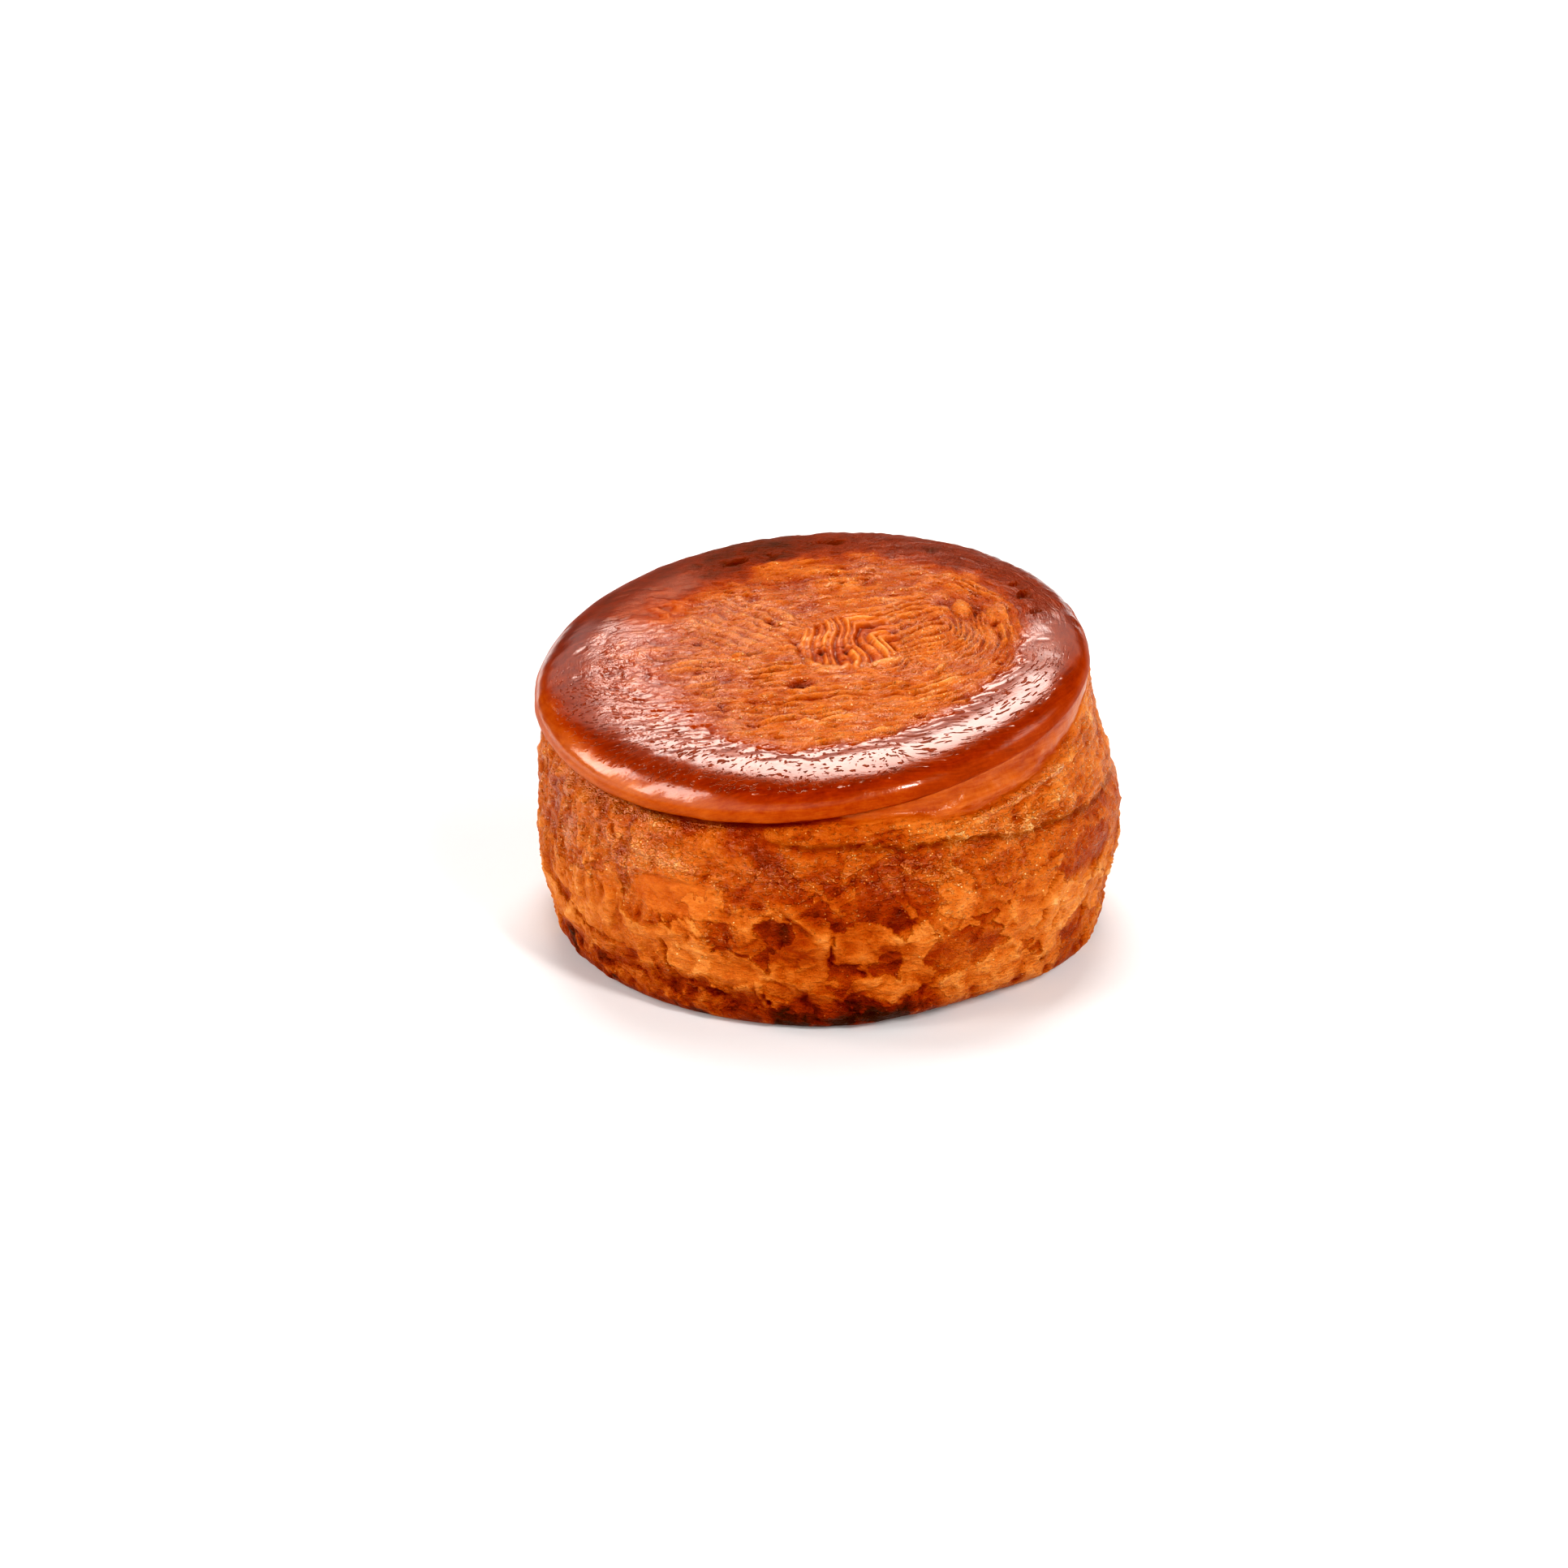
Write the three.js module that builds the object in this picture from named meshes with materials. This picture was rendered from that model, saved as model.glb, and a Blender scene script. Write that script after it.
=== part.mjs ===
// A kouign amann for one person: laminated dough rolled up, baked in a ring and turned over,
// so that the caramelised base is its top. It is one solid, and what shows of its layers,
// folds and flakes is relief.
//
// Millimetres, +Z up. The front is towards -Y. The part rests on z = 0 and the origin is the
// centre of its footprint. Angles run anticlockwise seen from above, from +X.
import * as THREE from "three";

const { lerp, clamp, smoothstep, degToRad } = THREE.MathUtils;
const TURN = 2 * Math.PI;

// --- Driving dimensions -------------------------------------------------------------------

// The caramel cap: a disc whose plane is higher at the right and at the back.
const CAP_RADIUS = 39.9;
const CAP_CENTRE = new THREE.Vector2(-2, 0); // it has slid to the left of the foot
const CAP_HEIGHT = 42.5; // of its plane above its centre
const CAP_RISE_RIGHT = Math.tan(degToRad(4.4));
const CAP_RISE_BACK = Math.tan(degToRad(6.5));

// Its rounded edge is a quarter of an ellipse in section, and goes on down into a lip.
const RIM_WIDTH = 8.5;
const RIM_DROP = 4.6;
const RIM_SWELL = 1.1; // how much wider the edge is at the back left
const RIM_SWELL_ANGLE = degToRad(155);
const RIM_SWELL_SPREAD = degToRad(95);
const LIP_ANGLE = degToRad(228); // the lip overhangs most in this direction
const LIP_SPREAD = degToRad(85); // and runs out this far to each side
const LIP_TURN = degToRad(24); // how far the section goes on under its widest point there
const RIM_TURN = degToRad(-8); // and away from the lip, where it stops short of it
const LIP_TUCK = 2.2; // how far the dough sits back under the lip
const RIM_TUCK = 0.5; // and under the rim elsewhere
const TUCK_HEIGHT = 3.6; // the dough swells out again over this height
const WALL_START = 0.6; // the dough meets the lip this far below its lower edge

// Radius of the wall from the axis against height, at the left and at the right.
const WALL_HEIGHTS = [0, 4, 9, 15, 20, 26, 32, 38, 44];
const WALL_LEFT = [40, 40.6, 42.1, 42.8, 42.4, 41.8, 41.1, 40.4, 40];
const WALL_RIGHT = [39.8, 40.4, 41, 42.5, 42.8, 41, 39, 37.8, 37.1];

const FOOT_ROUND = 2.6; // radius of the bottom edge
const FOOT_LIFT = 3.2; // at the front right the rounding starts this much higher
const FOOT_UNDERCUT = 5.2; // and goes in this much further
const FOOT_LIFT_ANGLE = degToRad(302);
const FOOT_LIFT_SPREAD = degToRad(36);

// The roll seen on top. Its layers run round a flattened core and end up in circles.
const CORE_START = new THREE.Vector2(10, -0.3);
const CORE_END = new THREE.Vector2(17.5, 2.6);
const LAYER_PITCH = 3.4;
const LAYER_DEPTH = 0.7;
const ROLL_RADIUS = 30; // they fade out here, where the smooth rim starts
const PIT = new THREE.Vector2(-4, -10); // a deep hole between two layers
const PIT_RADIUS = 3;
const PIT_DEPTH = 1.6;

// In the middle the dough is folded to and fro, and its folds run from back to front.
const FOLD_CENTRE = new THREE.Vector2(3.5, 0.5);
const FOLD_SIZE = new THREE.Vector2(7, 10.5); // half its extent
const FOLD_PITCH = 2.5;
const FOLD_DEPTH = 0.9;
const FOLD_SWAY = 1.3; // sideways swing of each fold
const FOLD_SWAY_LENGTH = 15;

const LUMP_SIZE = 19; // swellings of the wall
const LUMP_DEPTH = 0.6;
const FLAKE_SIZE = 8; // flakes, as plates with steep edges
const FLAKE_DEPTH = 0.55;
const CRAG_SIZE = 4.5; // broken crust between them
const CRAG_DEPTH = 0.45;
const BAND_PITCH = 3.6; // edges of layers that show in a band under the rim at the right
const BAND_DEPTH = 0.6;
const BAND_HEIGHT = 15;
const BAND_ANGLE = degToRad(318);
const BAND_SPREAD = degToRad(80);

// Triangle edges
const CORE_STEP = 0.75; // in the middle of the top
const TOP_STEP = 1.9; // at the edge of the top
const WALL_STEP = 2;
const BASE_STEP = 7;
const RIM_RINGS = 7;

// --- Noise --------------------------------------------------------------------------------

// A repeatable value from 0 to 1 for each point of a grid of whole numbers.
function gridValue(i, j, k) {
  const v = Math.sin(i * 127.1 + j * 311.7 + k * 74.7) * 43758.5453;
  return v - Math.floor(v);
}

// The slope that a grid point gives the noise round it, times the way from that point.
function gridSlope(i, j, k, x, y, z) {
  const turn = TURN * gridValue(i, j, k);
  const rise = 2 * gridValue(k, i, j) - 1;
  const level = Math.sqrt(1 - rise * rise);
  return level * (Math.cos(turn) * (x - i) + Math.sin(turn) * (y - j)) + rise * (z - k);
}

// Smooth noise from about -1 to 1, with features one unit across.
function noise(x, y, z) {
  const [i, j, k] = [x, y, z].map(Math.floor);
  const [u, v, w] = [x - i, y - j, z - k].map((t) => t * t * (3 - 2 * t));
  const slope = (di, dj, dk) => gridSlope(i + di, j + dj, k + dk, x, y, z);
  const along = (dj, dk) => lerp(slope(0, dj, dk), slope(1, dj, dk), u);
  const sheet = (dk) => lerp(along(0, dk), along(1, dk), v);
  return 1.7 * lerp(sheet(0), sheet(1), w);
}

// How near one direction is to another: 1 there, falling to 0 at `spread` away.
function near(angle, centre, spread) {
  const away = Math.abs(((angle - centre + 1.5 * TURN) % TURN) - TURN / 2);
  return 1 - smoothstep(away, 0, spread);
}

// --- The top ------------------------------------------------------------------------------

function capPlane(x, y) {
  return CAP_HEIGHT + CAP_RISE_RIGHT * (x - CAP_CENTRE.x) + CAP_RISE_BACK * y;
}

// Distance across the layers of the roll: from its core near the middle, from the centre of
// the cap further out.
function acrossLayers(p) {
  const core = CORE_END.clone().sub(CORE_START);
  const share = clamp(p.clone().sub(CORE_START).dot(core) / core.lengthSq(), 0, 1);
  const fromCore = p.distanceTo(CORE_START.clone().addScaledVector(core, share));
  const fromCentre = p.distanceTo(CAP_CENTRE);
  return lerp(fromCore, fromCentre, smoothstep(fromCentre, 12, 30));
}

function layerRelief(p) {
  const angle = Math.atan2(p.y - CORE_START.y, p.x - CORE_START.x);
  const waver = 0.3 * noise(p.x / 9, p.y / 9, 3);
  const phase = acrossLayers(p) / LAYER_PITCH + angle / TURN + waver;
  const groove = 0.5 + 0.5 * Math.cos(TURN * phase);
  const strength = 0.7 + 0.5 * noise(p.x / 6, p.y / 6, 11);
  return -LAYER_DEPTH * strength * groove * groove;
}

function foldRelief(p) {
  const sway = FOLD_SWAY * Math.sin((TURN * (p.y - FOLD_CENTRE.y)) / FOLD_SWAY_LENGTH);
  return -FOLD_DEPTH * (0.5 + 0.5 * Math.cos((TURN * (p.x - FOLD_CENTRE.x + sway)) / FOLD_PITCH));
}

function topRelief(x, y) {
  const p = new THREE.Vector2(x, y);
  const folded = 1 - smoothstep(p.clone().sub(FOLD_CENTRE).divide(FOLD_SIZE).length(), 0.75, 1.15);
  const rolled = 1 - smoothstep(p.distanceTo(CAP_CENTRE), 0.7 * ROLL_RADIUS, ROLL_RADIUS);
  const pit = PIT_DEPTH * (1 - smoothstep(p.distanceTo(PIT), 0, PIT_RADIUS));
  const bumps = 0.25 * noise(x / 3.5, y / 3.5, 7);
  return rolled * (lerp(layerRelief(p), foldRelief(p), folded) + bumps - pit);
}

// --- The wall -----------------------------------------------------------------------------

// Reads a curve given by values at rising places, levelling off at each of them.
function readCurve(places, values, at) {
  const i = clamp(places.findIndex((place) => place > at) - 1, 0, places.length - 2);
  const share = smoothstep(at, places[i], places[i + 1]);
  return lerp(values[i], values[i + 1], share);
}

function wallRadius(angle, z) {
  const left = readCurve(WALL_HEIGHTS, WALL_LEFT, z);
  const right = readCurve(WALL_HEIGHTS, WALL_RIGHT, z);
  return lerp(left, right, 0.5 + 0.5 * Math.cos(angle));
}

// Swellings, flakes, crags and the edges of layers, outwards from the wall.
function wallRelief(angle, z, top) {
  const [x, y] = [CAP_RADIUS * Math.cos(angle), CAP_RADIUS * Math.sin(angle)];
  const lumps = LUMP_DEPTH * noise(x / LUMP_SIZE, y / LUMP_SIZE, z / LUMP_SIZE + 5);
  const flakes = FLAKE_DEPTH * Math.tanh(5 * noise(x / FLAKE_SIZE, y / FLAKE_SIZE, z / FLAKE_SIZE));
  const crags = CRAG_DEPTH * noise(x / CRAG_SIZE, y / CRAG_SIZE, z / CRAG_SIZE + 40);
  const below = smoothstep(top - z, 0.5 * BAND_HEIGHT, BAND_HEIGHT);
  const foot = 0.3 + 0.7 * smoothstep(z, 0, 6);
  const bandPhase = (top - z) / BAND_PITCH + 0.3 * noise(x / 14, y / 14, 2);
  const band = BAND_DEPTH * (1 - below) * near(angle, BAND_ANGLE, BAND_SPREAD) * Math.cos(TURN * bandPhase);
  return lumps + (0.25 + 0.75 * below) * foot * (flakes + crags) + band;
}

// --- The surface, ring by ring from the middle of the top to the middle of the base ---------

// Rings are centred on the folds in the middle, and on the cap at its edge.
function topPoint(angle, radius) {
  const centre = FOLD_CENTRE.clone().lerp(CAP_CENTRE, radius / (CAP_RADIUS - RIM_WIDTH));
  const x = centre.x + radius * Math.cos(angle);
  const y = centre.y + radius * Math.sin(angle);
  return [x, y, capPlane(x, y) + topRelief(x, y)];
}

// `share` runs from 0 at the inner edge of the rim to 1 at the lower edge of the lip.
function rimPoint(angle, share) {
  const turn = lerp(RIM_TURN, LIP_TURN, near(angle, LIP_ANGLE, LIP_SPREAD));
  const bend = lerp(TURN / 4, -turn, share);
  const width = RIM_WIDTH + RIM_SWELL * near(angle, RIM_SWELL_ANGLE, RIM_SWELL_SPREAD);
  const radius = CAP_RADIUS - RIM_WIDTH + width * Math.cos(bend);
  const x = CAP_CENTRE.x + radius * Math.cos(angle);
  const y = CAP_CENTRE.y + radius * Math.sin(angle);
  return [x, y, capPlane(x, y) - RIM_DROP * (1 - Math.sin(bend))];
}

// How much of the lift the foot has in a direction, from 0 to 1.
function lifted(direction) {
  return near(direction, FOOT_LIFT_ANGLE, FOOT_LIFT_SPREAD);
}

// `share` runs from 0 under the lip to 1 at the top of the rounded foot.
function wallPoint(angle, share) {
  const [rimX, rimY, rimZ] = rimPoint(angle, 1);
  const direction = Math.atan2(rimY, rimX);
  const z = lerp(rimZ - WALL_START, FOOT_ROUND + FOOT_LIFT * lifted(direction), share);
  const free = wallRadius(direction, z) + wallRelief(direction, z, rimZ);
  const tuck = lerp(RIM_TUCK, LIP_TUCK, near(direction, LIP_ANGLE, LIP_SPREAD));
  const tucked = Math.hypot(rimX, rimY) - tuck;
  const radius = lerp(tucked, free, smoothstep(rimZ - z, 0, TUCK_HEIGHT));
  return [radius * Math.cos(direction), radius * Math.sin(direction), z];
}

// `bend` is the angle round the foot's section, from 0 at its top to 90 degrees on the table.
function footPoint(angle, bend) {
  const [x, y, z] = wallPoint(angle, 1);
  const inset = (FOOT_ROUND + FOOT_UNDERCUT * lifted(Math.atan2(y, x))) * (1 - Math.cos(bend));
  const share = 1 - inset / Math.hypot(x, y);
  return [x * share, y * share, z * (1 - Math.sin(bend))];
}

function basePoint(angle, share) {
  const [x, y] = footPoint(angle, TURN / 4);
  return [x * share, y * share, 0];
}

// Rings as { count, point }, where point(angle) gives a place.
function rings() {
  const list = [];
  const around = Math.round((TURN * CAP_RADIUS) / WALL_STEP);
  const countAt = (radius, step) => clamp(Math.round((TURN * radius) / step), 6, around);

  const topRadius = CAP_RADIUS - RIM_WIDTH;
  for (let radius = CORE_STEP; radius < topRadius - CORE_STEP; ) {
    const [r, step] = [radius, lerp(CORE_STEP, TOP_STEP, radius / topRadius)];
    list.push({ count: countAt(r, step), point: (angle) => topPoint(angle, r) });
    radius += step;
  }
  list.push({ count: around, point: (angle) => topPoint(angle, topRadius) });

  for (let i = 1; i <= RIM_RINGS; i++) {
    list.push({ count: around, point: (angle) => rimPoint(angle, i / RIM_RINGS) });
  }

  const wallRings = Math.round((CAP_HEIGHT - RIM_DROP) / WALL_STEP);
  for (let i = 0; i <= wallRings; i++) {
    list.push({ count: around, point: (angle) => wallPoint(angle, i / wallRings) });
  }
  for (const bend of [TURN / 8, TURN / 4]) {
    list.push({ count: around, point: (angle) => footPoint(angle, bend) });
  }

  const baseRings = Math.round(CAP_RADIUS / BASE_STEP);
  for (let i = baseRings - 1; i >= 1; i--) {
    const share = i / baseRings;
    const count = countAt(share * CAP_RADIUS, BASE_STEP);
    list.push({ count, point: (angle) => basePoint(angle, share) });
  }
  return list;
}

// Joins two neighbouring rings of a and b points with triangles that face outwards. A ring of
// one point has no sides, so its step round is left out.
function stitch(faces, firstA, a, firstB, b) {
  let [i, j] = [a, b].map((count) => (count === 1 ? 1 : 0));
  while (i < a || j < b) {
    const [hereA, hereB] = [firstA + (i % a), firstB + (j % b)];
    if (j >= b || (i < a && (i + 1) / a <= (j + 1) / b)) {
      i += 1;
      faces.push(hereA, hereB, firstA + (i % a));
    } else {
      j += 1;
      faces.push(hereA, hereB, firstB + (j % b));
    }
  }
}

function pastryGeometry() {
  const points = [...topPoint(0, 0)];
  const faces = [];
  let [before, countBefore] = [0, 1];
  for (const { count, point } of rings()) {
    const first = points.length / 3;
    for (let i = 0; i < count; i++) points.push(...point((i / count) * TURN));
    stitch(faces, before, countBefore, first, count);
    [before, countBefore] = [first, count];
  }
  stitch(faces, before, countBefore, points.length / 3, 1);
  points.push(0, 0, 0);

  const geometry = new THREE.BufferGeometry();
  geometry.setAttribute("position", new THREE.Float32BufferAttribute(points, 3));
  geometry.setIndex(faces);
  geometry.computeVertexNormals();
  return geometry;
}

// --- The part -----------------------------------------------------------------------------

const crust = new THREE.MeshStandardMaterial({ color: 0xb8601c, roughness: 0.35, metalness: 0 });

const pastry = new THREE.Mesh(pastryGeometry(), crust);
pastry.name = "pastry";

// The wall is uneven, so the whole is moved until its box is centred over the origin.
pastry.geometry.computeBoundingBox();
const middle = pastry.geometry.boundingBox.getCenter(new THREE.Vector3());
pastry.position.set(-middle.x, -middle.y, 0);

const kouignAmann = new THREE.Group();
kouignAmann.add(pastry);

export default kouignAmann;
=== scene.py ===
"""A kouign amann: the caramel cap and the flaky crust as fine meshes over the CAD part's form.

Lengths in the functions below are millimetres in the CAD source's own frame. Each piece is
turned into metres in the row's frame when its mesh is made. Angles are degrees, seen from above,
anticlockwise from +X. The front is towards -Y.
"""
import bpy
import numpy as np
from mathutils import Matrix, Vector


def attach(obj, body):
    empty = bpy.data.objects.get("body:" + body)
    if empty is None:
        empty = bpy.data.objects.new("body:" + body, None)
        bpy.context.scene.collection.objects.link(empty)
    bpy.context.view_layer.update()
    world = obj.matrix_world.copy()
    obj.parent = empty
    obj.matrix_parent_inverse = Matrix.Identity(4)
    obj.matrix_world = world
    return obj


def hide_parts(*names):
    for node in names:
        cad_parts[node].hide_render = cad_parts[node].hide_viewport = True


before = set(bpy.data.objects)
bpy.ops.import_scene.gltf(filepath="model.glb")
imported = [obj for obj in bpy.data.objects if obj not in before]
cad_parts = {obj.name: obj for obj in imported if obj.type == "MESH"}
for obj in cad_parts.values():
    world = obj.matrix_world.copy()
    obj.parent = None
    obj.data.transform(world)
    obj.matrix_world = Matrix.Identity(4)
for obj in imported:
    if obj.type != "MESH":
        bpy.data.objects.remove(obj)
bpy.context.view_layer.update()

MM = 0.001
ROW_SHIFT = np.array([-0.207, 0.022, 0.0])  # the CAD part is moved by this to centre its box

# --- The CAD part's dimensions ---

# The cap is a disc that rises to the right and to the back.
CAP_RADIUS = 39.9
CAP_X = -2.0
CAP_HEIGHT = 42.5
CAP_RISE_RIGHT = np.tan(np.radians(4.4))
CAP_RISE_BACK = np.tan(np.radians(6.5))
# Its rim is about a quarter of an ellipse, and wider around one direction.
RIM_WIDTH = 8.5
RIM_DROP = 4.6
RIM_ARC = 11.5
RIM_SWELL = 1.1
RIM_SWELL_ANGLE = 155
RIM_SWELL_SPREAD = 95
TOP_RADIUS = CAP_RADIUS - RIM_WIDTH
# How many degrees past its widest point the rim ends: before it, except around the lip.
RIM_TURN = -8
LIP_TURN = 24
LIP_ANGLE = 228
LIP_SPREAD = 85
# The wall's upper edge: how far inside the rim's lower edge it is, how far below it, and the
# height over which the wall comes out to its own radius.
RIM_TUCK = 0.1
LIP_TUCK = 2.2
RIM_GAP = -0.2
LIP_GAP = 0.6
TUCK_HEIGHT = 3.6
# The wall's radius at some heights, in the directions of -X and +X.
WALL_HEIGHTS = np.array([0, 4, 9, 15, 20, 26, 32, 38, 44])
WALL_LEFT = np.array([40, 40.6, 42.1, 42.8, 42.4, 41.8, 41.1, 40.4, 40])
WALL_RIGHT = np.array([39.8, 40.4, 41, 42.5, 42.8, 41, 39, 37.8, 37.1])
# The rounded bottom edge, which reaches further up and in around one direction.
FOOT_ROUND = 2.6
FOOT_LIFT = 3.2
FOOT_UNDERCUT = 5.2
FOOT_LIFT_ANGLE = 302
FOOT_LIFT_SPREAD = 36

# --- Mesh fineness ---

CAP_STEP = 0.27
WALL_STEP = 0.335
HIDDEN_STEP = 2.5
RIM_ROWS = 36
FOOT_ROWS = 10
# Rings on the faces that don't show: how far inside the edge each is, and for the base its share
# of the radius.
UNDERSIDE_INSETS = np.array([0.8, 2, 4, 7, 12, 18, 24, 30, 36])
HIDDEN_TOP_INSETS = np.array([36, 30, 24, 18, 12, 8, 5, 3, 2.2, 1.4])
BASE_SHARES = np.array([0.98, 0.95, 0.9, 0.82, 0.72, 0.6, 0.45, 0.3, 0.15])
HIDDEN_RADIUS = 40
WALL_MEAN_RADIUS = 41.5
UNDERSIDE_DROP = 1.15 * RIM_DROP


# --- Small maths ---

def lerp(a, b, t):
    return a + (b - a) * t


def ease(low, high, v):
    """0 below low, 1 above high, and smooth between."""
    t = np.clip((v - low) / (high - low), 0, 1)
    return t * t * (3 - 2 * t)


def near(angle, centre, spread):
    """1 in the direction centre, falling to 0 at spread degrees from it."""
    away = np.abs((angle - centre + 540) % 360 - 180)
    return 1 - ease(0, spread, away)


def within(angle, start, end, edge):
    """1 from one direction round to another, falling to 0 over edge degrees outside them."""
    middle = (start + end) / 2
    away = np.abs((angle - middle + 540) % 360 - 180)
    return 1 - ease(0, edge, away - (end - start) / 2)


def bell(v, width):
    return np.exp(-(v / width) ** 2)


def reach_from(a, b, place):
    """0 in the middle of a place and 1 at its edge. A place is its middle's a and b and half widths."""
    return np.hypot((a - place[0]) / place[2], (b - place[1]) / place[3])


# --- Noise ---
#
# A term such as 0.3 * noise(p, 5, 44) in the surfaces below adds up to 0.3 of relief, tone or
# gloss, in features of 5 mm, with 44 as the seed.

TABLE = 1024
SEED_STEP = 37
NOISE_GAIN = 1.6
draw = np.random.default_rng(20)
SHUFFLE = draw.permutation(TABLE)
SLOPES = draw.normal(size=(TABLE, 3))
SLOPES /= np.linalg.norm(SLOPES, axis=1)[:, None]
SPOTS = draw.random((TABLE, 3))


def cell_entry(cell, seed):
    """An entry of the tables for each cell of a grid."""
    i = SHUFFLE[(cell[..., 0] + SEED_STEP * seed) % TABLE]
    j = SHUFFLE[(i + cell[..., 1]) % TABLE]
    return SHUFFLE[(j + cell[..., 2]) % TABLE]


def noise(p, size, seed):
    """Smooth noise from about -1 to 1 with features of a size, or of one size along each axis."""
    q = p / np.asarray(size, float)
    low = np.floor(q).astype(np.int64)
    part = q - low
    blend = part ** 3 * (part * (6 * part - 15) + 10)
    total = 0
    for corner in np.ndindex(2, 2, 2):
        corner = np.array(corner)
        slope = SLOPES[cell_entry(low + corner, seed)]
        share = np.prod(np.where(corner, blend, 1 - blend), axis=-1)
        total += share * np.sum(slope * (part - corner), axis=-1)
    return NOISE_GAIN * total


def noise_vector(p, size, seed):
    """Three noises, for moving places about."""
    return np.stack([noise(p, size, seed + k) for k in range(3)], -1)


def layered_noise(p, size, layers, seed):
    """Noise with finer noise on it, each layer half the size and half the height of the last."""
    size = np.asarray(size, float)
    return sum(0.5 ** k * noise(p, size / 2 ** k, seed + k) for k in range(layers))


def cells(p, size, seed):
    """Distance to the nearest of scattered spots, in cells, and a value from 0 to 1 for that spot."""
    q = p / np.asarray(size, float)
    low = np.floor(q).astype(np.int64)
    nearest = np.full(q.shape[:-1], np.inf)
    value = np.zeros(q.shape[:-1])
    for step in np.ndindex(3, 3, 3):
        cell = low + np.array(step) - 1
        entry = cell_entry(cell, seed)
        away = np.linalg.norm(cell + SPOTS[entry] - q, axis=-1)
        closer = away < nearest
        value = np.where(closer, entry / TABLE, value)
        nearest = np.where(closer, away, nearest)
    return nearest, value


def domes(p, size, seed, width, sparse):
    """Round domes, 1 high, on the scattered spots whose value is past a limit."""
    spot, value = cells(p, size, seed)
    return np.sqrt(np.clip(1 - (spot / width) ** 2, 0, 1)) * ease(sparse, sparse + 0.1, value)


# --- The top ---

# Both ends of the roll's core, the left end of the line that the outer layers run round, and how
# far from that line the marks along them have their true length.
CORE_START = np.array([10.0, -0.3])
CORE_END = np.array([17.5, 2.6])
LAYERS_LEFT = np.array([-26.0, -1.5])
TRUE_LENGTH_AT = 14
# Widths of one layer.
TERRACE_PITCH = 1.45
FOLD_PITCH = 1.08
LOOP_PITCH = 1.55
CRUMPLE_PITCH = 1.8
# Where the folds turn to the front, and the length over which they sway there and back.
FOLD_CORNER = np.array([9.8, -3.0])
FOLD_SWAY_LENGTH = 9.0
# Places on the top: x and y of the middle, then half the reaches.
FOLDS = (3.0, 0.4, 7.6, 8.6)
CRUMPLED_LAYERS = (-12.0, 7.0, 7.5, 9.0)
CURL = (19.6, 8.2, 1.25, 2.6)
CURL_HOLLOWS = [(21.9, 7.6, 0.9, 1.8), (16.6, 10.3, 1.0, 1.0)]
DEEP_PIT = (-4.0, -10.6, 1.5, 1.0)
GOLDEN_ON_RIM = (-23, 13, 5.0, 5.0)
GOLDEN_AT_LEFT = (-25, 1, 5.25, 3.5)
# The ledge's y at x = 0, and how much it gains for each millimetre to the right.
LEDGE_Y = -7.8
LEDGE_LEAN = 0.10
# Distances from the cap's centre between which the rough top turns into the smooth rim.
RIM_INNER = 25.5
RIM_FULL = 29.5
# Stretches of the rim: from one direction round to another, and the width of the soft ends.
RIM_BACK = (15, 110, 25)
RIM_FRONT = (185, 330, 30)
MATTE_RIM = (95, 150, 20)


def cap_plane(x, y):
    return CAP_HEIGHT + CAP_RISE_RIGHT * (x - CAP_X) + CAP_RISE_BACK * y


def flat(x, y):
    return np.stack([x, y, np.zeros_like(x)], -1)


def bent(x, y, large, small):
    """Places on the top moved about, so that the layers drawn in them bend."""
    p = flat(x, y)
    return (x + large * noise(p, 7, 1) + small * noise(p, 2.6, 2),
            y + large * noise(p, 7, 3) + small * noise(p, 2.6, 4))


def nearest_on(place, start, end):
    """The nearest point to each place on the line between two ends."""
    line = end - start
    share = np.clip((place - start) @ line / (line @ line), 0, 1)
    return start + share[..., None] * line


def across_layers(x, y):
    """Distance across the layers of the roll's middle.

    The layers run round the core in closed loops that grow towards the cap's edge, and each loop
    is round a middle that has moved on from the core towards the cap's centre.
    """
    place = np.stack([x, y], -1)
    from_core = place - nearest_on(place, CORE_START, CORE_END)
    drift = (np.array([CAP_X, 0]) - (CORE_START + CORE_END) / 2) / TOP_RADIUS
    along = from_core @ drift
    rest = 1 - drift @ drift
    return (np.sqrt(along ** 2 + rest * np.sum(from_core ** 2, -1)) - along) / rest


def ribbons(phase):
    """Round ridges with narrow grooves between them, from 0 to 1."""
    return np.abs(np.sin(np.pi * phase)) ** 0.55


def layer_flow(x, y):
    """Places in terms of the layers away from the core, which run round a long line to its left.

    The first number is the distance across the layers and the others change along them.
    """
    place = np.stack(bent(x, y, 1.0, 0.2), -1)
    nearest = nearest_on(place, LAYERS_LEFT, CORE_START)
    across = np.linalg.norm(place - nearest, axis=-1)
    towards = (place - nearest) / np.maximum(across, 0.01)[..., None]
    return np.concatenate([across[..., None], nearest + TRUE_LENGTH_AT * towards], -1)


def dashes(flow, across, along, seed, cut=0.28):
    """Separate long dents that lie along the layers, from 0 to 1."""
    return ease(cut, cut + 0.22, noise(flow, [across, along, along], seed))


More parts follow.
